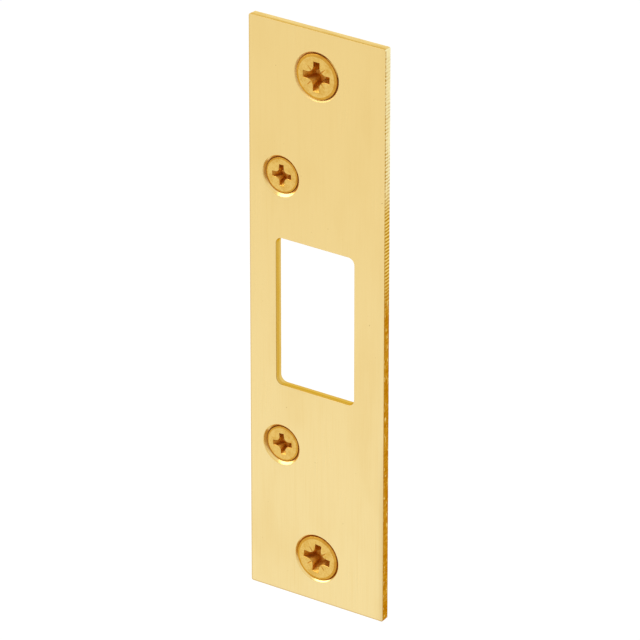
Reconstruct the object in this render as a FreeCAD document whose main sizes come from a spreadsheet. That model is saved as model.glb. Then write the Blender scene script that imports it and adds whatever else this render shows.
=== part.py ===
import FreeCAD, Part
import math
import os
import Sketcher

# A flat door strike plate with its four flat-head wood screws in place.
# The origin is the middle of the plate's back face, the side that lies on the door frame.
# +Z runs up the plate, +X across it, and the front face looks along -Y.
# Lengths are in millimetres and angles in degrees.
SIZES = [
    ("plate_width", 31.75, "plate, side to side"),
    ("plate_length", 123.825, "plate, top to bottom"),
    ("plate_thickness", 1.83, "sheet that the plate is stamped from"),
    ("corner_round", 0.4, "radius of the plate's four corners"),
    ("edge_round", 0.12, "roll that stamping leaves along the front edges"),
    ("opening_width", 18.5, "opening that takes the bolt, side to side"),
    ("opening_height", 32.0, "opening that takes the bolt, top to bottom"),
    ("opening_shift", -0.4, "middle of the opening, from the plate's middle line"),
    ("opening_corner", 1.4, "radius of the opening's four corners"),
    ("cone_angle", 82.0, "countersinks and screw heads, full angle"),
    ("point_radius", 0.25, "blunt end of a screw's point"),
    ("drill_play", 2.0, "holes through the plate, wider than the thread by this much"),
    ("large_end", 9.525, "large screws' centres, from the plate's ends"),
    ("large_sink", 10.35, "large countersink, across its mouth"),
    ("large_head", 9.4, "large head, across"),
    ("large_land", 0.5, "large head, height of its rim above the cone"),
    ("large_rim_bevel", 0.12, "large head, bevel of its rim"),
    ("large_thread", 5.49, "large screw, across its thread"),
    ("large_length", 15.9, "large screw, overall"),
    ("large_point", 5.2, "large screw, length of its tapered point"),
    ("large_cross_span", 6.15, "large recess, across two arms"),
    ("large_cross_arm", 1.4, "large recess, width of an arm"),
    ("large_cross_flare", 1.45, "large recess, radius between two arms"),
    ("large_cross_depth", 2.5, "large recess, depth"),
    ("large_floor_span", 3.6, "large recess at its floor, across two arms"),
    ("large_floor_arm", 1.0, "large recess at its floor, width of an arm"),
    ("large_floor_flare", 0.7, "large recess at its floor, radius between two arms"),
    ("tick_inner", 1.0, "tick marks between the large recess's arms, start"),
    ("tick_outer", 2.9, "tick marks between the large recess's arms, end"),
    ("tick_width", 0.3, "tick marks, width"),
    ("tick_depth", 0.16, "tick marks, depth"),
    ("upper_large_turn", -1.0, "upper large screw, where its driving stopped"),
    ("lower_large_turn", -7.0, "lower large screw, where its driving stopped"),
    ("upper_large_gap", 0.2, "upper large screw, left this far short of its seat"),
    ("lower_large_gap", 0.05, "lower large screw, play at its seat along the screw"),
    ("small_side", 7.375, "small screws' centres, from the plate's left side"),
    ("small_reach", 13.3, "small screws' centres, from the opening's ends"),
    ("small_sink", 8.7, "small countersink, across its mouth"),
    ("small_head", 7.4, "small head, across"),
    ("small_land", 0.33, "small head, height of its rim above the cone"),
    ("small_rim_bevel", 0.08, "small head, bevel of its rim"),
    ("small_thread", 4.17, "small screw, across its thread"),
    ("small_length", 15.9, "small screw, overall"),
    ("small_point", 4.4, "small screw, length of its tapered point"),
    ("small_cross_span", 4.4, "small recess, across two arms"),
    ("small_cross_arm", 1.05, "small recess, width of an arm"),
    ("small_cross_flare", 0.95, "small recess, radius between two arms"),
    ("small_cross_depth", 1.9, "small recess, depth"),
    ("small_floor_span", 2.5, "small recess at its floor, across two arms"),
    ("small_floor_arm", 0.75, "small recess at its floor, width of an arm"),
    ("small_floor_flare", 0.45, "small recess at its floor, radius between two arms"),
    ("upper_small_turn", 2.0, "upper small screw, where its driving stopped"),
    ("lower_small_turn", 6.0, "lower small screw, where its driving stopped"),
    ("upper_small_gap", 0.05, "upper small screw, play at its seat along the screw"),
    ("lower_small_gap", 0.05, "lower small screw, play at its seat along the screw"),
]
FULL_TURN = 360
QUARTER_TURN = 90
CROSS_ARMS = 4
TICK_ANGLE = 45
NEAR = 1e-4
LEVELS = ("upper", "lower")
CUTS = ("PartDesign::Pocket", "PartDesign::Hole", "PartDesign::SubtractiveLoft")


class Formula:
    """A number, and the formula on the sheet that gives it."""

    def __init__(self, number, text):
        self.number = number
        self.text = text

    def joined(self, sign, other, number):
        return Formula(number, f"({self.text} {sign} {formula(other).text})")

    def __add__(self, other):
        return self.joined("+", other, self.number + formula(other).number)

    def __sub__(self, other):
        return self.joined("-", other, self.number - formula(other).number)

    def __truediv__(self, other):
        return self.joined("/", other, self.number / formula(other).number)

    def __neg__(self):
        return Formula(-self.number, f"(-1 * {self.text})")


def formula(value):
    return value if isinstance(value, Formula) else Formula(value, repr(value))


MIDDLE = Formula(0.0, "0")


def tangent(angle):
    return Formula(math.tan(math.radians(angle.number)), f"tan({angle.text} * 1 deg)")


def write_sheet(doc):
    # One row for each size: what it is, and its value under its own alias
    sheet = doc.addObject("Spreadsheet::Sheet", "Sizes")
    for row, (alias, value, meaning) in enumerate(SIZES, 1):
        sheet.set(f"A{row}", meaning)
        sheet.set(f"B{row}", str(value))
        sheet.setAlias(f"B{row}", alias)
    doc.recompute()
    return {alias: Formula(value, f"Sizes.{alias}") for alias, value, _ in SIZES}


def new_sketch(body, name, role, offset=None, turn=0):
    # A sketch on one of the body's own planes, moved along its normal and turned about it
    plane = next(item for item in body.Origin.OriginFeatures if item.Role == role)
    sketch = body.newObject("Sketcher::SketchObject", name)
    sketch.AttachmentSupport = [(plane, "")]
    sketch.MapMode = "FlatFace"
    sketch.AttachmentOffset = FreeCAD.Placement(
        FreeCAD.Vector(0, 0, 0), FreeCAD.Rotation(FreeCAD.Vector(0, 0, 1), turn)
    )
    if offset is not None:
        sketch.setExpression("AttachmentOffset.Base.z", offset.text)
    return sketch


def bind(sketch, kind, name, value, *where):
    # A driving dimension of a sketch, tied to its formula
    number = sketch.addConstraint(Sketcher.Constraint(kind, *where, value.number))
    sketch.renameConstraint(number, name)
    sketch.setExpression(f"Constraints.{name}", value.text)


def fix_point(sketch, name, edge, end, point):
    # Holds one point of a sketch at its distances from the sketch's origin
    for kind, axis, value in (("DistanceX", -2, point[0]), ("DistanceY", -1, point[1])):
        if isinstance(value, Formula):
            bind(sketch, kind, f"{name}_{kind[-1].lower()}", value, -1, 1, edge, end)
        else:
            sketch.addConstraint(Sketcher.Constraint("PointOnObject", edge, end, axis))


def vector(point):
    return FreeCAD.Vector(formula(point[0]).number, formula(point[1]).number, 0)


def draw_outline(sketch, corners, arcs=None):
    # A closed outline through its corners. An arc, given as its centre, radius and whether
    # it turns to the left, takes the place of the straight edge that leaves that corner.
    arcs = arcs or {}
    ends = []
    for i, corner in enumerate(corners):
        start, stop = vector(corner), vector(corners[(i + 1) % len(corners)])
        if i not in arcs:
            ends.append((sketch.addGeometry(Part.LineSegment(start, stop)), 1, 2))
            continue
        centre, radius, left = arcs[i]
        first, last = (start, stop) if left else (stop, start)
        middle = vector(centre)
        angles = [math.atan2(p.y - middle.y, p.x - middle.x) for p in (first, last)]
        circle = Part.Circle(middle, FreeCAD.Vector(0, 0, 1), radius.number)
        edge = sketch.addGeometry(Part.ArcOfCircle(circle, *angles))
        ends.append((edge, 1, 2) if left else (edge, 2, 1))
    for i, (edge, _, last) in enumerate(ends):
        after, first, _ = ends[(i + 1) % len(ends)]
        sketch.addConstraint(Sketcher.Constraint("Coincident", edge, last, after, first))
    for i, (edge, first, _) in enumerate(ends):
        fix_point(sketch, f"corner{i}", edge, first, corners[i])
    for i, (_, radius, _) in arcs.items():
        bind(sketch, "Radius", f"arc{i}", radius, ends[i][0])


def rectangle(middle, width, height):
    # Corners of a level rectangle, its middle on the sketch's X axis
    left, right = middle - width / 2, middle + width / 2
    low, high = -(height / 2), height / 2
    return [(left, low), (right, low), (right, high), (left, high)]


def round_edges(body, name, base, radius, chosen):
    # Rounds the edges of a feature that a test on their boxes picks out
    boxes = enumerate((edge.BoundBox for edge in base.Shape.Edges), 1)
    fillet = body.newObject("PartDesign::Fillet", name)
    fillet.Base = (base, [f"Edge{number}" for number, box in boxes if chosen(box)])
    fillet.setExpression("Radius", radius.text)
    body.Document.recompute()
    return fillet


def centre_of(size, kind, level):
    # Large screws stand on the plate's middle line near its ends, small ones near its
    # left side, beyond the opening
    if kind == "large":
        across, rise = MIDDLE, size["plate_length"] / 2 - size["large_end"]
    else:
        across = size["small_side"] - size["plate_width"] / 2
        rise = size["opening_height"] / 2 + size["small_reach"]
    return across, rise if level == "upper" else -rise


def countersink(body, size, kind):
    # The two countersunk holes of one kind of screw, cut from the front face
    sketch = new_sketch(body, f"{kind}_hole_centres", "XZ_Plane", size["plate_thickness"])
    drill = size[f"{kind}_thread"] + size["drill_play"]
    for level in LEVELS:
        centre = centre_of(size, kind, level)
        circle = Part.Circle(vector(centre), FreeCAD.Vector(0, 0, 1), drill.number / 2)
        edge = sketch.addGeometry(circle)
        bind(sketch, "Diameter", f"{level}_drill", drill, edge)
        fix_point(sketch, level, edge, 3, centre)
    body.Document.recompute()
    hole = body.newObject("PartDesign::Hole", f"{kind}_holes")
    hole.Profile = sketch
    hole.DepthType = "ThroughAll"
    hole.HoleCutType = "Countersink"
    hole.HoleCutCustomValues = True
    hole.setExpression("Diameter", drill.text)
    hole.setExpression("HoleCutDiameter", size[f"{kind}_sink"].text)
    hole.setExpression("HoleCutCountersinkAngle", size["cone_angle"].text)
    body.Document.recompute()


def build_plate(doc, size):
    # Blank with its bolt opening, rounded corners, rolled front edges and four countersinks
    body = doc.addObject("PartDesign::Body", "strike_plate")
    outline = new_sketch(body, "plate_outline", "XZ_Plane")
    draw_outline(outline, rectangle(MIDDLE, size["plate_width"], size["plate_length"]))
    blank = body.newObject("PartDesign::Pad", "blank")
    blank.Profile = outline
    blank.setExpression("Length", size["plate_thickness"].text)
    mouth = new_sketch(body, "opening_outline", "XZ_Plane", size["plate_thickness"])
    sides = (size["opening_shift"], size["opening_width"], size["opening_height"])
    draw_outline(mouth, rectangle(*sides))
    opening = body.newObject("PartDesign::Pocket", "bolt_opening")
    opening.Profile = mouth
    opening.Type = "ThroughAll"
    doc.recompute()

    front = -size["plate_thickness"].number

    def upright_at(height):
        level = height.number / 2
        return lambda box: box.XLength < NEAR and abs(abs(box.ZMin) - level) + box.ZLength < NEAR

    def on_front(box):
        return abs(box.YMin - front) < NEAR and abs(box.YMax - front) < NEAR

    outer, inner = upright_at(size["plate_length"]), upright_at(size["opening_height"])
    corners = round_edges(body, "plate_corners", opening, size["corner_round"], outer)
    both = round_edges(body, "opening_corners", corners, size["opening_corner"], inner)
    round_edges(body, "front_edges", both, size["edge_round"], on_front)
    countersink(body, size, "large")
    countersink(body, size, "small")
    return body


def quarter_turn(point):
    return -point[1], point[0]


def draw_cross(sketch, span, arm, flare):
    # A four-armed cross with a hollow curve between each two arms
    reach, half = span / 2, arm / 2
    bend = half + flare
    one_arm = [(reach, -half), (reach, half), (bend, half), (half, bend)]
    hollow = (bend, bend)
    corners, arcs = [], {}
    for _ in range(CROSS_ARMS):
        corners += one_arm
        arcs[len(corners) - 2] = (hollow, flare, False)
        one_arm = [quarter_turn(point) for point in one_arm]
        hollow = quarter_turn(hollow)
    draw_outline(sketch, corners, arcs)


def build_screw(doc, size, kind, level):
    # A flat-head wood screw, made upright with the middle of its head's face at the origin
    body = doc.addObject("PartDesign::Body", f"{level}_{kind}_screw")

    def own(name):
        return size[f"{kind}_{name}"]

    slope = tangent(size["cone_angle"] / 2)
    rim, shank, bevel = own("head") / 2, own("thread") / 2, own("rim_bevel")
    cone_end = own("land") + (rim - shank) / slope
    profile = new_sketch(body, f"{level}_{kind}_profile", "XZ_Plane")
    corners = [
        (0, 0),
        (0, -own("length")),
        (size["point_radius"], -own("length")),
        (shank, own("point") - own("length")),
        (shank, -cone_end),
        (rim, -own("land")),
        (rim, -bevel),
        (rim - bevel, 0),
    ]
    draw_outline(profile, corners)
    blank = body.newObject("PartDesign::Revolution", f"{level}_{kind}_blank")
    blank.Profile = profile
    blank.ReferenceAxis = (profile, ["V_Axis"])
    blank.Angle = FULL_TURN

    # The driving recess narrows from its mouth in the head's face to its floor
    mouth = new_sketch(body, f"{level}_{kind}_recess_mouth", "XY_Plane")
    draw_cross(mouth, own("cross_span"), own("cross_arm"), own("cross_flare"))
    floor = new_sketch(body, f"{level}_{kind}_recess_floor", "XY_Plane", -own("cross_depth"))
    draw_cross(floor, own("floor_span"), own("floor_arm"), own("floor_flare"))
    doc.recompute()
    recess = body.newObject("PartDesign::SubtractiveLoft", f"{level}_{kind}_recess")
    recess.Profile = mouth
    recess.Sections = [floor]
    recess.Ruled = True
    doc.recompute()
    if kind == "large":
        add_ticks(body, size, level)

    # Two like cones bear on each other, so the head sinks until they meet, less the gap
    sunk = (own("sink") - own("head")) / 2 / slope - own("land") - size[f"{level}_{kind}_gap"]
    across, height = centre_of(size, kind, level)
    place = f"vector({across.text}; {(sunk - size['plate_thickness']).text}; {height.text})"
    lying = f"rotation(vector(1; 0; 0); {QUARTER_TURN})"
    turned = f"rotation(vector(0; 0; 1); {size[f'{level}_{kind}_turn'].text})"
    body.setExpression("Placement", f"placement({place}; {lying} * {turned})")
    doc.recompute()
    return body


def add_ticks(body, size, level):
    # Four short cuts in the head's face, halfway between the recess's arms
    sketch = new_sketch(body, f"{level}_tick_outline", "XY_Plane", turn=TICK_ANGLE)
    middle = (size["tick_inner"] + size["tick_outer"]) / 2
    length = size["tick_outer"] - size["tick_inner"]
    draw_outline(sketch, rectangle(middle, length, size["tick_width"]))
    tick = body.newObject("PartDesign::Pocket", f"{level}_tick")
    tick.Profile = sketch
    tick.setExpression("Length", size["tick_depth"].text)
    body.Document.recompute()
    ticks = body.newObject("PartDesign::PolarPattern", f"{level}_ticks")
    ticks.Originals = [tick]
    ticks.Axis = (sketch, ["N_Axis"])
    ticks.Angle = FULL_TURN
    ticks.Occurrences = CROSS_ARMS
    body.Tip = ticks
    body.Document.recompute()


def build_screw_pair(doc, size, kind):
    # The upper and the lower screw of one kind, as one group
    pair = doc.addObject("Part::Compound", f"{kind}_screws")
    pair.Links = [build_screw(doc, size, kind, level) for level in LEVELS]
    doc.recompute()
    return pair


def check(doc, parts):
    # Nothing is written unless every object was built and each sub-part is sound
    for item in doc.Objects:
        if {"Invalid", "Error"} & set(item.State):
            raise RuntimeError(f"{item.Name} failed: {item.State}")
        if item.TypeId in CUTS and item.Shape.Volume > item.BaseFeature.Shape.Volume - NEAR:
            raise RuntimeError(f"{item.Name} cuts nothing")
    for part, solids in parts.items():
        if part.Shape.isNull() or not part.Shape.isValid():
            raise RuntimeError(f"{part.Label} has no sound shape")
        if len(part.Shape.Solids) != solids:
            raise RuntimeError(f"{part.Label} has {len(part.Shape.Solids)} solids")


def main():
    doc = FreeCAD.newDocument("door_strike_plate")
    size = write_sheet(doc)
    parts = {build_plate(doc, size): 1}
    for kind in ("large", "small"):
        parts[build_screw_pair(doc, size, kind)] = 2
    doc.recompute()
    check(doc, parts)
    os.makedirs("parts", exist_ok=True)
    for part in parts:
        part.Shape.exportStep(f"parts/{part.Label}.step")
        print(part.Label, len(part.Shape.Solids), "solids", round(part.Shape.Volume, 2), "mm3")


main()
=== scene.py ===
import bpy
import bmesh
import math
from mathutils import Matrix, Vector, noise


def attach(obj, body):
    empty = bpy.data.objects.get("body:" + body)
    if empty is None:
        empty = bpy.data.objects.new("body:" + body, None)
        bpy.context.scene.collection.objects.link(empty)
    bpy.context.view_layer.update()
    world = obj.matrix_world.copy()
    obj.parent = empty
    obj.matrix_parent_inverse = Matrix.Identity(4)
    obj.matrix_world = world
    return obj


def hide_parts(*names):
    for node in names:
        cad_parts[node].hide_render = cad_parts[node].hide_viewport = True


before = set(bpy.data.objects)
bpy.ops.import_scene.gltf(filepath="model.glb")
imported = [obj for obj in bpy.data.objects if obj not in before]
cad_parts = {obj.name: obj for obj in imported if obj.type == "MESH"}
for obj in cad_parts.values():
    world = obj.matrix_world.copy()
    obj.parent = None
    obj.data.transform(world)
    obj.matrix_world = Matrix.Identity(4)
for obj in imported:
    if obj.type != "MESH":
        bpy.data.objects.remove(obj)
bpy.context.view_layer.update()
mm = 0.001  # meshes are drawn in millimetres and scaled once, when they are placed
touching = 1e-4  # millimetres; points nearer than this are one point
print("frame loaded:", ", ".join(sorted(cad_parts)))

photoView = {
    "turn": 34.34,  # degrees round to the right of square on
    "lift": 25.89,  # degrees above level
    "distance": 1196.3,
    "aside": 0.659,  # middle of the picture, from the middle of the plate's front face
    "above": 0.467,
    "pixelsPerMm": 5.1086,  # at the plate's middle
    "imageWidth": 640,
    "sensorWidth": 36,
}


def aimCamera(view, frontLevel):
    turn, lift = math.radians(view["turn"]), math.radians(view["lift"])
    back = Vector((math.sin(turn) * math.cos(lift), -math.cos(turn) * math.cos(lift), math.sin(lift)))
    right = Vector((math.cos(turn), math.sin(turn), 0))
    up = back.cross(right)
    eye = back * view["distance"] + right * view["aside"] + up * view["above"] + Vector((0, frontLevel, 0))
    lens = bpy.data.cameras.new("photoCamera")
    lens.sensor_width = view["sensorWidth"]
    lens.lens = view["pixelsPerMm"] * view["distance"] * view["sensorWidth"] / view["imageWidth"]
    camera = bpy.data.objects.new("photoCamera", lens)
    bpy.context.scene.collection.objects.link(camera)
    camera.matrix_world = Matrix.Translation(eye * mm) @ Matrix((right, up, back)).transposed().to_4x4()
    bpy.context.scene.camera = camera


class Wire:  # a node tree's socket that can stand in a sum
    def __init__(self, tree, socket=None):
        self.tree = tree
        self.socket = socket

    def node(self, kind, settings=None, sockets=None, out=0):
        made = self.tree.nodes.new(kind)
        for name, value in (settings or {}).items():
            setattr(made, name, value)
        for name, value in (sockets or {}).items():
            if isinstance(value, Wire):
                self.tree.links.new(value.socket, made.inputs[name])
            else:
                made.inputs[name].default_value = value
        return Wire(self.tree, made.outputs[out])

    def sum(self, operation, first, second):
        return self.node("ShaderNodeMath", {"operation": operation}, {0: first, 1: second})

    def __add__(self, other):
        return self.sum("ADD", self, other)

    def __radd__(self, other):
        return self.sum("ADD", other, self)

    def __sub__(self, other):
        return self.sum("SUBTRACT", self, other)

    def __rsub__(self, other):
        return self.sum("SUBTRACT", other, self)

    def __mul__(self, other):
        return self.sum("MULTIPLY", self, other)

    def __rmul__(self, other):
        return self.sum("MULTIPLY", other, self)

    def blend(self, first, second):  # a colour between two, with this as the share of the second
        colours = {0: self, 6: first, 7: second}
        return self.node("ShaderNodeMix", {"data_type": "RGBA"}, colours, out=2)

    def grain(self, where, cells, detail=3, shift=(0, 0, 0)):  # noise, in cells per millimetre each way
        scaled = [count / mm for count in cells]
        place = self.node("ShaderNodeMapping", None, {"Vector": where, "Scale": scaled, "Location": shift})
        sockets = {"Vector": place, "Scale": 1, "Detail": detail, "Roughness": 0.55}
        return self.node("ShaderNodeTexNoise", None, sockets)

    def bands(self, where, spacing, waver):  # level stripes, a spacing apart up the piece
        scale = 2 * math.pi / 20 / spacing  # a wave texture has 20 radians to the unit
        sockets = {"Vector": where, "Scale": scale, "Distortion": waver, "Detail": 2, "Detail Scale": 1.5}
        return self.node("ShaderNodeTexWave", {"bands_direction": "Z"}, sockets, out="Fac")

    def between(self, low, high):  # 0 below low, 1 above high
        sockets = {"Value": self, "From Min": low, "From Max": high}
        return self.node("ShaderNodeMapRange", {"interpolation_type": "SMOOTHSTEP"}, sockets)


def newFinish(name):
    material = bpy.data.materials.new(name)
    material.use_nodes = True
    wire = Wire(material.node_tree)
    where = wire.node("ShaderNodeTexCoord", out="Object")
    shader = next(node for node in material.node_tree.nodes if node.type == "BSDF_PRINCIPLED")
    shader.inputs["Metallic"].default_value = 1
    return material, wire, where, shader


def dress(wire, shader, colour, roughness, relief, depth):
    bump = wire.node("ShaderNodeBump", None, {"Height": relief, "Distance": depth * mm, "Strength": 1})
    for name, value in (("Base Color", colour), ("Roughness", roughness), ("Normal", bump)):
        wire.tree.links.new(value.socket, shader.inputs[name])


def shade(red, green, blue):
    return (red, green, blue, 1)


satinBrass = {
    # upper and lower: a painted gradient of light, the lower part painted a little lighter
    "upper": shade(0.872, 0.648, 0.262),
    "lower": shade(0.912, 0.722, 0.345),
    "streak": shade(0.815, 0.580, 0.210),  # in the brushing's furrows
    "speck": shade(0.42, 0.24, 0.06),
    "line": shade(0.62, 0.40, 0.13),  # painted shade along the left and lower edges, where the face rolls over
    "lineWidth": 0.4,
    "shadeWidth": 1.5,  # painted shade up the lower part of the right edge
    "ends": 0.06,  # metres from the middle, where upper and lower take over
    "roughness": 0.30,
    "brushDepth": 0.004,
}


def makeSatinBrass(look):
    material, wire, where, shader = newFinish("satinBrass")
    height = wire.node("ShaderNodeSeparateXYZ", None, {"Vector": where}, out="Z")
    rise = height.between(-look["ends"], look["ends"])
    fine = wire.grain(where, (9, 2, 0.12), detail=4)  # brushing runs up the plate
    broad = wire.grain(where, (1.1, 1, 0.03), detail=2, shift=(3, 0, 0))
    cloud = wire.grain(where, (0.12, 0.12, 0.05), detail=2, shift=(7, 0, 2))
    dots = wire.grain(where, (1.3, 1.3, 0.9), detail=1, shift=(11, 5, 3))
    base = rise.blend(look["lower"], look["upper"])
    furrow = 0.25 * fine.between(0.45, 0.8) + 0.1 * broad.between(0.5, 0.75)
    brushed = (furrow + 0.25 * cloud.between(0.45, 0.75)).blend(base, look["streak"])
    speck = 0.5 * dots.between(0.79, 0.83)
    specked = speck.blend(brushed, look["speck"])
    low, high = solidBox("strike_plate")
    across = wire.node("ShaderNodeSeparateXYZ", None, {"Vector": where}, out="X")
    leftEdgeShade = 1 - across.between(low.x * mm, (low.x + look["lineWidth"]) * mm)
    footEdgeShade = 1 - height.between(low.z * mm, (low.z + look["lineWidth"]) * mm)
    rightEdge = across.between((high.x - look["shadeWidth"]) * mm, high.x * mm)
    rightShade = rightEdge * (1 - rise.between(0.05, 0.3))
    # painted shade along the rolled edges
    outline = 0.6 * leftEdgeShade + 0.8 * footEdgeShade + 0.35 * rightShade
    colour = wire.node("ShaderNodeClamp", None, {"Value": outline}).blend(specked, look["line"])
    roughness = look["roughness"] + 0.10 * (fine - 0.5) + 0.06 * (cloud - 0.5)
    dress(wire, shader, colour, roughness, fine + 0.5 * broad, look["brushDepth"])
    return material


shearedEdge = {
    "dark": shade(0.50, 0.195, 0.014),
    "mid": shade(0.66, 0.34, 0.05),
    "bright": shade(0.99, 0.90, 0.53),
    # painted shade along the front arris and in the valleys between the teeth, and the painted tone where the
    # teeth show
    "pit": shade(0.54, 0.29, 0.03),
    "glint": shade(0.96, 0.74, 0.26),
    "brightFrom": 0.021,  # metres up the plate, where the edge starts to turn bright: painted light, bright above and dark below
    "brightTo": 0.040,
    "teethFrom": 0.004,  # painted highlight, for the glints and the teeth
    "teethTo": 0.016,
    "toothSpacing": 0.74 * mm,
    "calmFrom": 0.028,  # the teeth grow faint again toward the top
    "calmTo": 0.052,
    "cornerFrom": 0.0594,  # and are all but gone at the very corner
    "cornerTo": 0.0606,
    "footFrom": -0.060,  # down the plate, where the edge pales again, painted light
    "footTo": -0.044,
    "arris": -1.62 * mm,  # the front of the edge, before this, is painted darker, painted shade
    "tint": shade(0.85, 0.58, 0.20),  # keeps grazing reflections gold
    "roughness": 0.34,
    "markDepth": 0.014,
}


def makeShearedEdge(look):
    material, wire, where, shader = newFinish("shearedEdge")
    shader.inputs["Specular Tint"].default_value = look["tint"]
    height = wire.node("ShaderNodeSeparateXYZ", None, {"Vector": where}, out="Z")
    through = wire.node("ShaderNodeSeparateXYZ", None, {"Vector": where}, out="Y")
    marks = wire.grain(where, (1, 0.5, 2.4), detail=3)  # chatter across the sheet's thickness
    patches = wire.grain(where, (0.2, 0.9, 0.22), detail=3, shift=(2, 1, 0))
    glints = wire.grain(where, (1, 2.2, 0.8), detail=1, shift=(5, 9, 4))
    teeth = wire.bands(where, look["toothSpacing"], 2.5) + 0.6 * (marks - 0.5)
    rise = height.between(look["brightFrom"], look["brightTo"])
    window = height.between(look["teethFrom"], look["teethTo"])
    foot = 1 - height.between(look["footFrom"], look["footTo"])
    arris = 1 - through.between(look["arris"], look["arris"] + 0.25 * mm)
    # the dark and mid tones of the lower edge are painted shade, varying at random
    shadedTone = (0.65 * marks + 0.45 * patches).between(0.42, 0.70).blend(look["dark"], look["mid"])
    # painted glints
    flecked = (0.8 * glints.between(0.62, 0.70)).blend(shadedTone, look["glint"])
    valley = (0.8 * window).blend(flecked, look["pit"])
    # the teeth are painted as highlights
    toothed = (0.9 * window * teeth.between(0.3, 0.7)).blend(valley, look["glint"])
    # painted light up the plate and near its foot
    share = rise * (1.0 + 0.7 * (patches - 0.5)) + 0.35 * foot * patches
    lit = share.between(0.15, 0.8).blend(toothed, look["bright"])
    faint = height.between(look["calmFrom"], look["calmTo"])
    corner = height.between(look["cornerFrom"], look["cornerTo"])
    calm = 1 - 0.6 * faint - 0.4 * corner
    # painted shade in the valleys between the teeth
    valleys = calm * rise * (1 - teeth.between(0.2, 0.6)) * patches.between(0.3, 0.6)
    paintedShade = 0.7 * arris * marks.between(0.34, 0.56) + 0.95 * valleys
    colour = wire.node("ShaderNodeClamp", None, {"Value": paintedShade}).blend(lit, look["pit"])
    roughness = look["roughness"] + 0.2 * (patches - 0.5)
    dress(wire, shader, colour, roughness, marks, look["markDepth"])
    return material


openingWall = {
    "name": "openingWall",
    "front": shade(0.68, 0.43, 0.08),
    "back": shade(0.80, 0.57, 0.17),
    "rim": shade(0.45, 0.25, 0.05),
    "rimTo": -1.68 * mm,  # the front arris, before this, is painted darker, painted shade over its highlight
    "turnsAt": -0.9 * mm,  # through the thickness, from smooth cut to break
    "tint": shade(0.85, 0.58, 0.2),
    "roughness": 0.28,
    "markDepth": 0.012,
}
croppedEnd = {
    "name": "croppedEnd",
    "front": shade(0.68, 0.46, 0.12),
    "back": shade(0.85, 0.69, 0.33),
    "rim": shade(0.45, 0.28, 0.08),
    "rimTo": -1.68 * mm,
    "turnsAt": -1.3 * mm,
    "tint": shade(0.85, 0.62, 0.25),
    "roughness": 0.5,
    "markDepth": 0.012,
}


def makeCutWall(look):
    material, wire, where, shader = newFinish(look["name"])
    shader.inputs["Specular Tint"].default_value = look["tint"]
    through = wire.node("ShaderNodeSeparateXYZ", None, {"Vector": where}, out="Y")
    marks = wire.grain(where, (1.6, 0.5, 1.6), detail=3)
    patches = wire.grain(where, (0.2, 1.0, 0.2), detail=2, shift=(4, 2, 1))
    torn = through.between(look["turnsAt"] - 0.3 * mm, look["turnsAt"] + 0.3 * mm)
    share = 0.6 * torn + 0.8 * (patches - 0.35)
    # painted shade along the front arris
    rim = 1 - through.between(look["rimTo"] - 0.1 * mm, look["rimTo"])
    colour = (0.9 * rim).blend(share.between(0, 1).blend(look["front"], look["back"]), look["rim"])
    roughness = look["roughness"] + 0.15 * (patches - 0.5)
    dress(wire, shader, colour, roughness, marks, look["markDepth"])
    return material


turnedSink = {
    "metal": shade(0.85, 0.63, 0.25),
    "groove": shade(0.74, 0.46, 0.10),
    "darkTone": shade(0.55, 0.25, 0.035),
    "shadeFrom": -1.45 * mm,  # through the thickness; deeper down the cut is duller and painted darker, painted shade in the hole
    "shadeTo": -1.15 * mm,
    "dullFrom": 0.044,  # metres up the plate; the topmost cut is rougher than the others
    "dullTo": 0.046,
    "dullness": 0.35,
    "roughness": 0.22,
    "toolDepth": 0.006,
}


def makeTurnedSink(look):
    material, wire, where, shader = newFinish("turnedSink")
    shader.inputs["Specular Tint"].default_value = look["metal"]
    rings = wire.grain(where, (0.02, 7, 0.02), detail=2)  # the countersink's cutter leaves level rings
    patches = wire.grain(where, (0.5, 0.5, 0.5), detail=2, shift=(1, 6, 2))
    share = 0.5 * rings.between(0.45, 0.7) + 0.4 * patches.between(0.5, 0.8)
    through = wire.node("ShaderNodeSeparateXYZ", None, {"Vector": where}, out="Y")
    # painted shade deeper in the countersink
    deep = through.between(look["shadeFrom"], look["shadeTo"])
    colour = deep.blend(share.blend(look["metal"], look["groove"]), look["darkTone"])
    height = wire.node("ShaderNodeSeparateXYZ", None, {"Vector": where}, out="Z")
    dull = height.between(look["dullFrom"], look["dullTo"])
    roughness = look["roughness"] + 0.12 * (patches - 0.5) + 0.3 * deep + look["dullness"] * dull
    dress(wire, shader, colour, roughness, rings, look["toolDepth"])
    wire.tree.links.new((1 - 0.4 * deep).socket, shader.inputs["Metallic"])
    return material


goldPlate = {
    "name": "goldPlate",
    "metal": shade(0.815, 0.540, 0.150),
    "deep": shade(0.680, 0.385, 0.065),
    "roughness": 0.27,
    "peelDepth": 0.008,
}
shadedRim = {  # the outer ring of a head, painted a deeper tone all round, painted shade and reflection
    "name": "shadedRim",
    "metal": shade(0.68, 0.360, 0.05),
    "deep": shade(0.57, 0.260, 0.03),
    "roughness": 0.27,
    "peelDepth": 0.006,
}


def makeGoldPlate(look):
    material, wire, where, shader = newFinish(look["name"])
    shader.inputs["Specular Tint"].default_value = look["metal"]
    peel = wire.grain(where, (2.2, 2.2, 2.2), detail=4)
    patches = wire.grain(where, (0.55, 0.55, 0.55), detail=3, shift=(8, 3, 5))
    share = 0.5 * peel.between(0.40, 0.68) + 0.5 * patches.between(0.42, 0.68)
    colour = share.blend(look["metal"], look["deep"])
    roughness = look["roughness"] + 0.16 * (patches - 0.5)
    dress(wire, shader, colour, roughness, peel, look["peelDepth"])
    return material


pressedRecess = {
    # the recess is painted a darker gold than the face, painted shade in the recess
    "metal": shade(0.76, 0.45, 0.10),
    "deep": shade(0.66, 0.34, 0.045),
    "roughness": 0.45,
    "peelDepth": 0.01,
}


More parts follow.
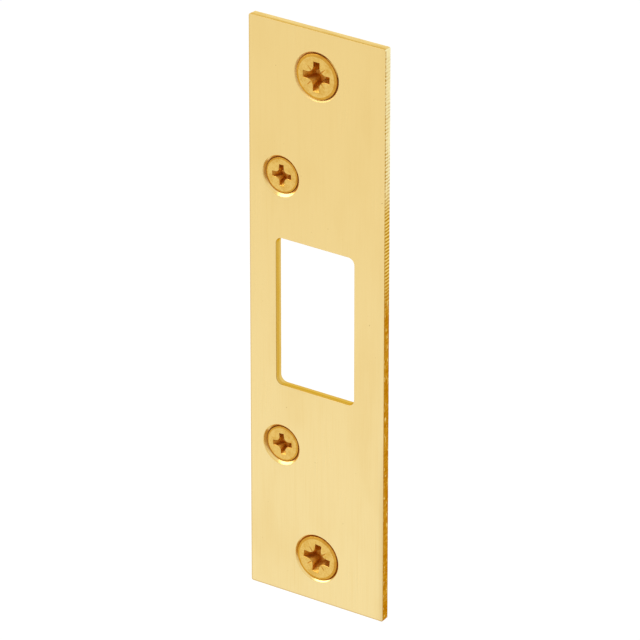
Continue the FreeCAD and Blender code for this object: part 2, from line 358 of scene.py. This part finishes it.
def makePressedRecess(look):
    material, wire, where, shader = newFinish("pressedRecess")
    shader.inputs["Specular Tint"].default_value = look["deep"]
    peel = wire.grain(where, (2.6, 2.6, 2.6), detail=3, shift=(3, 1, 7))
    colour = peel.between(0.35, 0.65).blend(look["metal"], look["deep"])
    roughness = look["roughness"] + 0.15 * (peel - 0.5)
    dress(wire, shader, colour, roughness, peel, look["peelDepth"])
    return material


dullUnderside = {
    "metal": shade(0.70, 0.33, 0.05),
    "darkTone": shade(0.50, 0.21, 0.025),
    "metallic": 0.65,
    "roughness": 0.55,
    "peelDepth": 0.01,
}


def makeDullUnderside(look):  # under the heads' rims, a browner and less metallic finish than the face
    material, wire, where, shader = newFinish("dullUnderside")
    shader.inputs["Metallic"].default_value = look["metallic"]
    shader.inputs["Specular Tint"].default_value = look["metal"]
    darkTone = wire.grain(where, (1.5, 1.5, 1.5), detail=3, shift=(2, 8, 4))
    colour = darkTone.between(0.4, 0.65).blend(look["metal"], look["darkTone"])
    roughness = look["roughness"] + 0.2 * (darkTone - 0.5)
    dress(wire, shader, colour, roughness, darkTone, look["peelDepth"])
    return material


def loopOf(bm, old):  # the edges made since old was taken, freed of their faces
    edges = [edge for edge in bm.edges if edge not in old]
    faces = list({face for edge in edges for face in edge.link_faces})
    bmesh.ops.delete(bm, geom=faces, context="FACES_ONLY")
    return edges


def roundCorners(bm, verts, radius, steps=6):
    bmesh.ops.bevel(bm, geom=verts, offset=radius, segments=steps, profile=0.5,
                    affect="VERTICES", material=-1)


def squareVerts(bm, width, height, middle):
    verts = bmesh.ops.create_grid(bm, x_segments=1, y_segments=1, size=0.5)["verts"]
    bmesh.ops.scale(bm, vec=(width, height, 1), verts=verts)
    bmesh.ops.translate(bm, vec=middle, verts=verts)
    return verts


def roundedLoop(bm, outline, inset, level, spacing):
    old = set(bm.edges)
    width, height = outline["width"] - 2 * inset, outline["height"] - 2 * inset
    corner = max(outline["corner"] - inset, 0.05)
    verts = squareVerts(bm, width, height, (outline["shift"], 0, level))
    roundCorners(bm, verts, corner)
    edges = loopOf(bm, old)
    for axis, side in enumerate((outline["width"], outline["height"])):
        straight = [e for e in edges if abs(e.verts[0].co[axis] - e.verts[1].co[axis]) > side / 2]
        bmesh.ops.subdivide_edges(bm, edges=straight, cuts=round(side / spacing))
    return loopOf(bm, old)


def ringLoop(bm, middle, radius, level, steps):
    old = set(bm.edges)
    place = Matrix.Translation((*middle, level))
    bmesh.ops.create_circle(bm, cap_ends=False, radius=radius, segments=steps, matrix=place)
    return loopOf(bm, old)


def skin(bm, loops, finish):  # walls from each loop to the next
    apart = Vector((0, 0, 10))  # held apart while they are bridged, so that level loops pair up too
    for first, second in zip(loops, loops[1:]):
        lower = list({vert for edge in second for vert in edge.verts})
        bmesh.ops.translate(bm, vec=-apart, verts=lower)
        for face in bmesh.ops.bridge_loops(bm, edges=first + second)["faces"]:
            face.material_index = finish
        bmesh.ops.translate(bm, vec=apart, verts=lower)


def cover(bm, loops, finish):  # a flat face bounded by loops, holes left open
    edges = [edge for loop in loops for edge in loop]
    made = bmesh.ops.triangle_fill(bm, use_beauty=True, use_dissolve=False, edges=edges)["geom"]
    for face in made:
        if isinstance(face, bmesh.types.BMFace):
            face.material_index = finish


def rollSteps(radius, steps=4):  # a quarter round, as (inset, depth)
    angles = [math.radians(90) * i / steps for i in range(steps + 1)]
    return [(radius * (1 - math.sin(a)), radius * (1 - math.cos(a))) for a in angles]


def stand(bm, name, place, finishes, nodes, sharpAngle=35):  # mesh to finished piece
    bmesh.ops.remove_doubles(bm, verts=bm.verts, dist=touching)
    bmesh.ops.recalc_face_normals(bm, faces=bm.faces)
    bmesh.ops.transform(bm, matrix=place, verts=bm.verts)
    for face in bm.faces:
        face.smooth = True
    mesh = bpy.data.meshes.new(name)
    bm.to_mesh(mesh)
    bm.free()
    for finish in finishes:
        mesh.materials.append(finish)
    mesh.set_sharp_from_angle(angle=math.radians(sharpAngle))
    piece = bpy.data.objects.new(name, mesh)
    bpy.context.scene.collection.objects.link(piece)
    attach(piece, "root")
    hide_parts(*nodes)
    print(name, "made,", sum(len(face.vertices) - 2 for face in mesh.polygons), "triangles")


def solidBox(node, upper=None):  # a node's box in millimetres, or that of its upper or lower solid
    spots = [vert.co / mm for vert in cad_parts[node].data.vertices]
    if upper is not None:
        spots = [spot for spot in spots if (spot.z > 0) == upper]
    return Vector(map(min, zip(*spots))), Vector(map(max, zip(*spots)))


def faceUp(turn=0):  # drawn flat with the front up, then stood up to face the viewer
    return Matrix.Rotation(math.radians(90), 4, "X") @ Matrix.Rotation(math.radians(turn), 4, "Z")


strikePlate = {
    "corner": 0.4,
    "roll": 0.06,  # die roll along the front edges
    "spacing": 0.16,  # between points along a sheared edge
    "openingWidth": 18.5,
    "openingHeight": 32.0,
    "openingShift": -0.4,
    "openingCorner": 1.4,
    "coneAngle": 82,
    "sinkRoll": 0.07,
    "largeMouth": 10.35,
    "largeDrill": 7.49,
    "smallMouth": 8.7,
    "smallDrill": 6.17,
    "drillBurr": 0.1,  # turned in at the back of each hole
    "support": 0.5,  # flat ring beside each edge
    "break": 0.45,  # share of the thickness that is cut smooth before the sheet breaks
    "breakInset": 0.05,
    "tear": 0.035,  # how deep the broken part of an edge is torn
    "tearFade": 0.25,  # from no tear to all of it
    "chatterMarks": (0.45, 1.4),  # length along the edge and through it
    "roughMarks": (1.7, 0.5),
    "stepsRound": 96,
}


def edgeProfile(plate, thickness):  # front to back, as (inset, depth)
    start = plate["break"] * thickness
    inset, rest = plate["breakInset"], thickness - start
    torn = [(inset * (0.4 + 0.15 * i), start + rest * i / 5) for i in range(1, 5)]
    smooth = [(0, plate["roll"] + (start - plate["roll"]) * i / 2) for i in (1, 2)]
    back = [(inset, thickness), (plate["support"], thickness)]
    return [(plate["support"], 0)] + rollSteps(plate["roll"]) + smooth + torn + back


def sortWalls(bm, side, end):  # the blank's ends are cut, its long sides are sheared
    for face in bm.faces:
        if face.material_index == side and abs(face.normal.y) > abs(face.normal.x):
            face.material_index = end


def tearEdges(bm, plate, thickness, walls):  # breaks the rear part of the cut walls
    start = plate["break"] * thickness
    chatterAlong, chatterThrough = plate["chatterMarks"]
    roughAlong, roughThrough = plate["roughMarks"]
    bmesh.ops.recalc_face_normals(bm, faces=bm.faces)
    bm.normal_update()
    for vert in bm.verts:
        depth = thickness - vert.co.z
        if depth < start or not any(face.material_index in walls for face in vert.link_faces):
            continue
        along = vert.co.x + vert.co.y
        chatter = noise.noise(Vector((along / chatterAlong, depth / chatterThrough, 0)))
        rough = noise.noise(Vector((along / roughAlong, depth / roughThrough, 9)))
        fade = min(1, (depth - start) / plate["tearFade"])
        vert.co -= vert.normal * plate["tear"] * fade * (0.5 + 0.35 * chatter + 0.35 * rough)


def makePlate(plate, finishes):
    low, high = solidBox("strike_plate")
    width, thickness, length = high - low
    satin, sheared, wall, sink, end = range(len(finishes))
    bm = bmesh.new()
    blank = {"width": width, "height": length, "corner": plate["corner"], "shift": 0}
    opening = {"width": plate["openingWidth"], "height": plate["openingHeight"],
               "corner": plate["openingCorner"], "shift": plate["openingShift"]}
    fronts, backs = [], []
    for outline, sign, finish in ((blank, 1, sheared), (opening, -1, wall)):
        steps = edgeProfile(plate, thickness)
        loops = [roundedLoop(bm, outline, sign * inset, thickness - depth, plate["spacing"])
                 for inset, depth in steps]
        skin(bm, loops[:3], satin)
        skin(bm, loops[2:-1], finish)
        skin(bm, loops[-2:], satin)
        fronts.append(loops[0])
        backs.append(loops[-1])
    slope = math.tan(math.radians(plate["coneAngle"] / 2))
    for kind in ("large", "small"):
        mouth, drill = plate[kind + "Mouth"] / 2, plate[kind + "Drill"] / 2
        roll = plate["sinkRoll"]
        coneDepth = (mouth - drill) / slope
        burr = plate["drillBurr"]
        steps = [(mouth + 4 * roll, 0), (mouth + roll, 0), (mouth + 0.2 * roll, 0.35 * roll),
                 (mouth - slope * roll, roll), (drill, coneDepth), (drill - burr, thickness - 0.3 * burr),
                 (drill - 0.8 * burr, thickness), (drill + 4 * roll, thickness)]
        for upper in (True, False):
            corner, far = solidBox(kind + "_screws", upper)
            middle = ((corner.x + far.x) / 2, (corner.z + far.z) / 2)
            loops = [ringLoop(bm, middle, radius, thickness - depth, plate["stepsRound"])
                     for radius, depth in steps]
            skin(bm, loops[:2], satin)
            skin(bm, loops[1:-1], sink)
            skin(bm, loops[-2:], satin)
            fronts.append(loops[0])
            backs.append(loops[-1])
    cover(bm, fronts, satin)
    cover(bm, backs, satin)
    sortWalls(bm, sheared, end)
    tearEdges(bm, plate, thickness, (sheared, wall, end))
    stand(bm, "strikePlate", Matrix.Scale(mm, 4) @ faceUp(), finishes, ["strike_plate"])


largeScrew = {
    "node": "large_screws",
    "rimFall": (0.6, 0.14),  # width and drop of the face's slope toward the rim
    "rimRound": 0.06,
    "land": 0.5,
    "thread": 5.49,
    "pitch": 2.31,
    "crossSpan": 6.15,
    "crossArm": 1.4,
    "crossFlare": 1.45,
    "crossDepth": 2.5,
    "floorSpan": 3.6,
    "floorArm": 1.0,
    "floorFlare": 0.7,
    "ticks": {
        "inner": 1.72,  # from the middle of the head
        "outer": 2.9,
        "width": 0.38,
        "taper": 0.35,  # of the width, at the outer end
        "depth": 0.1,
        "floor": 0.3,  # of the width, at the bottom
        "draft": 0.3,  # how far the outer end would draw in if the floor had no width
    },
    "point": 5.2,
    "turns": {True: -1, False: -7},  # where the driving stopped, upper and lower
}
smallScrew = {
    "node": "small_screws",
    "rimFall": (0.4, 0.09),
    "rimRound": 0.05,
    "land": 0.33,
    "thread": 4.17,
    "pitch": 1.69,
    "crossSpan": 4.4,
    "crossArm": 1.05,
    "crossFlare": 0.95,
    "crossDepth": 1.9,
    "floorSpan": 2.5,
    "floorArm": 0.75,
    "floorFlare": 0.45,
    "ticks": None,
    "point": 4.4,
    "turns": {True: 2, False: 6},
}
anyScrew = {
    "coneAngle": 82,
    "lip": 0.05,  # roll at the mouth of the recess
    "neck": 1.2,  # plain shank under the cone
    "core": 0.66,  # of the thread's width
    "faceRing": 0.2,  # flat ring inside the slope toward the rim
    "runIn": 0.5,  # from the plain shank down to the core
    "tip": 0.15,  # radius at the very end
    "pointCurve": 1.3,
    "toothFoot": 0.36,  # half of the thread's width at its foot and crest, to a pitch
    "toothCrest": 0.03,
    "footSunk": 0.93,  # of the core, so that the thread sits in it
    "threadLead": 0.3,  # pitches before its start where the thread begins to rise
    "threadFade": 0.8,  # pitches over which it dies away at the point
    "threadEnd": 0.45,  # pitches left bare at the point
    "stepsRound": 96,
    "threadSteps": 48,  # to a turn
}


def crossLoop(bm, span, arm, flare, grow, level):
    old = set(bm.edges)
    reach, half = span / 2 + grow, arm / 2 + grow
    verts = bmesh.ops.create_grid(bm, x_segments=3, y_segments=3, size=1)["verts"]
    for vert in verts:  # three by three squares, spread to the widths of the arms
        for axis in (0, 1):
            vert.co[axis] = math.copysign(reach if abs(vert.co[axis]) > 0.5 else half, vert.co[axis])
    squares = {face for vert in verts for face in vert.link_faces}
    corners = [face for face in squares if min(map(abs, face.calc_center_median().xy)) > half]
    bmesh.ops.delete(bm, geom=corners, context="FACES")
    left = list({face for vert in verts if vert.is_valid for face in vert.link_faces})
    bmesh.ops.dissolve_faces(bm, faces=left)
    inner = [vert for vert in verts if vert.is_valid and max(map(abs, vert.co.xy)) < half + touching]
    roundCorners(bm, inner, flare - grow)
    edges = loopOf(bm, old)
    bmesh.ops.translate(bm, vec=(0, 0, level), verts=list({vert for edge in edges for vert in edge.verts}))
    return edges


def barLoop(bm, tick, share, level, turn):  # a tick's outline, narrower at its far end
    old = set(bm.edges)
    inner, outer = tick["inner"], tick["outer"] - (1 - share) * tick["draft"]
    verts = squareVerts(bm, outer - inner, tick["width"] * share, ((outer + inner) / 2, 0, level))
    far = [vert for vert in verts if vert.co.x > (outer + inner) / 2]
    bmesh.ops.scale(bm, vec=(1, tick["taper"], 1), verts=far)
    bmesh.ops.rotate(bm, cent=(0, 0, 0), matrix=Matrix.Rotation(math.radians(turn), 3, "Z"), verts=verts)
    return loopOf(bm, old)


def turnBody(bm, profile, steps):  # lathe work about the screw's own axis
    verts = [bm.verts.new((radius, 0, -depth)) for radius, depth in profile]
    edges = [bm.edges.new(pair) for pair in zip(verts, verts[1:])]
    bmesh.ops.spin(bm, geom=verts + edges, cent=(0, 0, 0), axis=(0, 0, 1), angle=math.radians(360),
                   steps=steps, use_merge=True)
    bmesh.ops.remove_doubles(bm, verts=bm.verts, dist=touching)


def windThread(bm, screw, start, end, coreAt):
    old = set(bm.verts)
    pitch, crest, steps = screw["pitch"], screw["thread"] / 2, anyScrew["threadSteps"]
    foot, flat = anyScrew["toothFoot"] * pitch, anyScrew["toothCrest"] * pitch
    inside = 0.9 * crest * anyScrew["core"]
    tooth = [(inside, foot), (crest, flat), (crest, -flat), (inside, -foot)]
    verts = [bm.verts.new((radius, 0, rise - start)) for radius, rise in tooth]
    edges = [bm.edges.new(pair) for pair in zip(verts, verts[1:] + verts[:1])]
    turns = (end - start) / pitch
    spun = bmesh.ops.spin(bm, geom=verts + edges, cent=(0, 0, 0), axis=(0, 0, 1), dvec=(0, 0, -pitch / steps),
                          angle=math.radians(360) * turns, steps=round(steps * turns))
    lastEdges = [item for item in spun["geom_last"] if isinstance(item, bmesh.types.BMEdge)]
    for loop in (edges, lastEdges):
        bmesh.ops.contextual_create(bm, geom=loop)
    for vert in bm.verts:
        if vert in old:
            continue
        depth, radius = -vert.co.z, vert.co.xy.length
        core = coreAt(depth)
        begun = (depth - start + anyScrew["threadLead"] * pitch) / pitch
        left = (end - depth) / (anyScrew["threadFade"] * pitch)
        height = (crest - crest * anyScrew["core"]) * min(1, max(0, begun), max(0, left))
        wanted = core + height if radius > 0.95 * crest else anyScrew["footSunk"] * core
        wanted = min(wanted, crest, core + 0.75 * core + 0.1)  # lower toward the point
        vert.co.xy *= wanted / radius


def makeScrew(screw, upper, finishes, name):
    low, high = solidBox(screw["node"], upper)
    rim, length = (high.x - low.x) / 2, high.y - low.y
    crest, core = screw["thread"] / 2, screw["thread"] / 2 * anyScrew["core"]
    slope = math.tan(math.radians(anyScrew["coneAngle"] / 2))
    coneEnd = screw["land"] + (rim - crest) / slope
    neckEnd, pointStart = coneEnd + anyScrew["neck"], length - screw["point"]
    threadStart = neckEnd + anyScrew["runIn"]
    threadEnd = length - anyScrew["threadEnd"] * screw["pitch"]
    gold, pressed, dull, shadedRimFinish = range(len(finishes))

    def coreAt(depth):
        share = max(0, depth - pointStart) / screw["point"]
        return core + (anyScrew["tip"] - core) * min(1, share) ** anyScrew["pointCurve"]

    fallWidth, fallDrop = screw["rimFall"]
    faceEdge = [(rim - fallWidth - anyScrew["faceRing"], 0), (rim - fallWidth, 0),
                (rim - 0.85 * fallWidth, 0.1 * fallDrop)]
    roll = [(rim - inset, fallDrop + depth) for inset, depth in rollSteps(screw["rimRound"])]
    shank = [(rim, screw["land"]), (crest, coneEnd), (crest, neckEnd), (core, threadStart)]
    depths = [pointStart + screw["point"] * i / 8 for i in range(9)]
    taper = [(coreAt(depth), depth) for depth in depths]
    profile = faceEdge + roll + shank + taper + [(0, length)]
    bm = bmesh.new()
    turnBody(bm, profile, anyScrew["stepsRound"])
    for face in bm.faces:
        depth = -face.calc_center_median().z
        if fallDrop + screw["rimRound"] < depth < coneEnd:
            face.material_index = dull
        # the rim's roll takes the painted rim shade
        elif 0.3 * fallDrop < depth < coneEnd:
            face.material_index = shadedRimFinish
    tops = [[edge for edge in bm.edges if edge.is_boundary]]
    windThread(bm, screw, threadStart, threadEnd, coreAt)
    mouth = (screw["crossSpan"], screw["crossArm"], screw["crossFlare"])
    floor = (screw["floorSpan"], screw["floorArm"], screw["floorFlare"])
    recess = [crossLoop(bm, *mouth, anyScrew["lip"], 0), crossLoop(bm, *mouth, 0, -anyScrew["lip"]),
              crossLoop(bm, *floor, 0, -screw["crossDepth"])]
    skin(bm, recess, pressed)
    cover(bm, recess[-1:], pressed)
    tops.append(recess[0])
    if screw["ticks"]:
        tick = screw["ticks"]
        for turn in (45, 135, 225, 315):
            pit = [barLoop(bm, tick, 1, 0, turn), barLoop(bm, tick, tick["floor"], -tick["depth"], turn)]
            skin(bm, pit, pressed)
            cover(bm, pit[-1:], pressed)
            tops.append(pit[0])
    cover(bm, tops, gold)
    middle = Matrix.Translation(((low.x + high.x) / 2, low.y, (low.z + high.z) / 2))
    place = Matrix.Scale(mm, 4) @ middle @ faceUp(screw["turns"][upper])
    stand(bm, name, place, finishes, [screw["node"]])


studio = {
    "floorBelow": 260,  # millimetres under the plate's middle
    "floorSize": 12,  # metres, as are the lengths below
    "floorColour": shade(0.9, 0.9, 0.9),
    "floorGlow": 1.08,  # with the matt share it comes to plain white
    "glowShare": 0.85,
    "surround": 0.6,  # light on matt things; metal and the camera see plain white
    "boxToward": (-0.75, -0.25, 0.6),
    "boxAway": 0.6,
    "boxSize": 0.75,
    "boxRadiance": 2.4,
    "flagColour": shade(0.55, 0.30, 0.055),
    "flagRoughness": 0.9,
    "flags": {  # brown cards that give the gold its darker tones: toward, away, width, height
        "sideFlag": ((0.846, -0.529, 0.07), 0.45, 0.20, 0.52),
        "lowFlag": ((0.587, -0.261, -0.766), 0.2, 0.15, 0.21),
    },
}


def seenWhite(wire):  # 1 for rays that look at the background, straight or in metal and glass
    kinds = ("Is Camera Ray", "Is Glossy Ray", "Is Transmission Ray")
    path = [wire.node("ShaderNodeLightPath", out=kind) for kind in kinds]
    return wire.node("ShaderNodeClamp", None, {"Value": path[0] + path[1] + path[2]})


def sheetOf(name, width, height, place):
    bm = bmesh.new()
    squareVerts(bm, width, height, (0, 0, 0))
    bmesh.ops.transform(bm, matrix=place, verts=bm.verts)
    mesh = bpy.data.meshes.new(name)
    bm.to_mesh(mesh)
    bm.free()
    sheet = bpy.data.objects.new(name, mesh)
    bpy.context.scene.collection.objects.link(sheet)
    return sheet


def whitenSurround(studio):
    world = bpy.data.worlds.new("paleSurround")
    bpy.context.scene.world = world
    world.use_nodes = True
    wire = Wire(world.node_tree)
    background = next(node for node in world.node_tree.nodes if node.type == "BACKGROUND")
    background.inputs["Color"].default_value = (1, 1, 1, 1)
    level = studio["surround"] + (1 - studio["surround"]) * seenWhite(wire)
    wire.tree.links.new(level.socket, background.inputs["Strength"])


def hangLamp(studio):
    lamp = bpy.data.lights.new("overheadBox", "AREA")
    lamp.shape = "DISK"
    lamp.size = studio["boxSize"]
    area = math.pi * (studio["boxSize"] / 2) ** 2
    lamp.energy = studio["boxRadiance"] * math.pi * area
    box = bpy.data.objects.new("overheadBox", lamp)
    toward = Vector(studio["boxToward"]).normalized()
    box.location = toward * studio["boxAway"]
    box.rotation_euler = toward.to_track_quat("Z", "Y").to_euler()
    bpy.context.scene.collection.objects.link(box)


def layFloor(studio):
    size, place = studio["floorSize"], Matrix.Translation((0, 0, -studio["floorBelow"] * mm))
    floor = sheetOf("paleFloor", size, size, place)
    material = bpy.data.materials.new("paleFloor")
    material.use_nodes = True
    wire = Wire(material.node_tree)
    nodes = material.node_tree.nodes
    nodes.remove(next(node for node in nodes if node.type == "BSDF_PRINCIPLED"))
    matt = wire.node("ShaderNodeBsdfDiffuse", None, {"Color": studio["floorColour"]})
    glow = wire.node("ShaderNodeEmission", None, {"Color": (1, 1, 1, 1), "Strength": studio["floorGlow"]})
    share = studio["glowShare"] * seenWhite(wire)
    mixed = wire.node("ShaderNodeMixShader", None, {0: share, 1: matt, 2: glow})
    output = next(node for node in nodes if node.type == "OUTPUT_MATERIAL")
    wire.tree.links.new(mixed.socket, output.inputs["Surface"])
    floor.data.materials.append(material)


def standFlags(studio):
    material = bpy.data.materials.new("brownFlag")
    material.use_nodes = True
    shader = next(node for node in material.node_tree.nodes if node.type == "BSDF_PRINCIPLED")
    shader.inputs["Base Color"].default_value = studio["flagColour"]
    shader.inputs["Roughness"].default_value = studio["flagRoughness"]
    for name, (direction, away, width, height) in studio["flags"].items():
        toward = Vector(direction).normalized()
        turned = toward.to_track_quat("Z", "Y").to_matrix().to_4x4()
        flag = sheetOf(name, width, height, Matrix.Translation(toward * away) @ turned)
        flag.visible_camera = False
        flag.data.materials.append(material)


bpy.context.scene.view_settings.view_transform = "Standard"
plateFront = solidBox("strike_plate")[0].y
aimCamera(photoView, plateFront)
print("camera set")
plateFinishes = [makeSatinBrass(satinBrass), makeShearedEdge(shearedEdge), makeCutWall(openingWall),
                 makeTurnedSink(turnedSink), makeCutWall(croppedEnd)]
screwFinishes = [makeGoldPlate(goldPlate), makePressedRecess(pressedRecess), makeDullUnderside(dullUnderside),
                 makeGoldPlate(shadedRim)]
print("finishes mixed")
makePlate(strikePlate, plateFinishes)
for kind, screw in (("Large", largeScrew), ("Small", smallScrew)):
    makeScrew(screw, True, screwFinishes, f"upper{kind}Screw")
    makeScrew(screw, False, screwFinishes, f"lower{kind}Screw")
whitenSurround(studio)
hangLamp(studio)
layFloor(studio)
standFlags(studio)
print("studio lit")
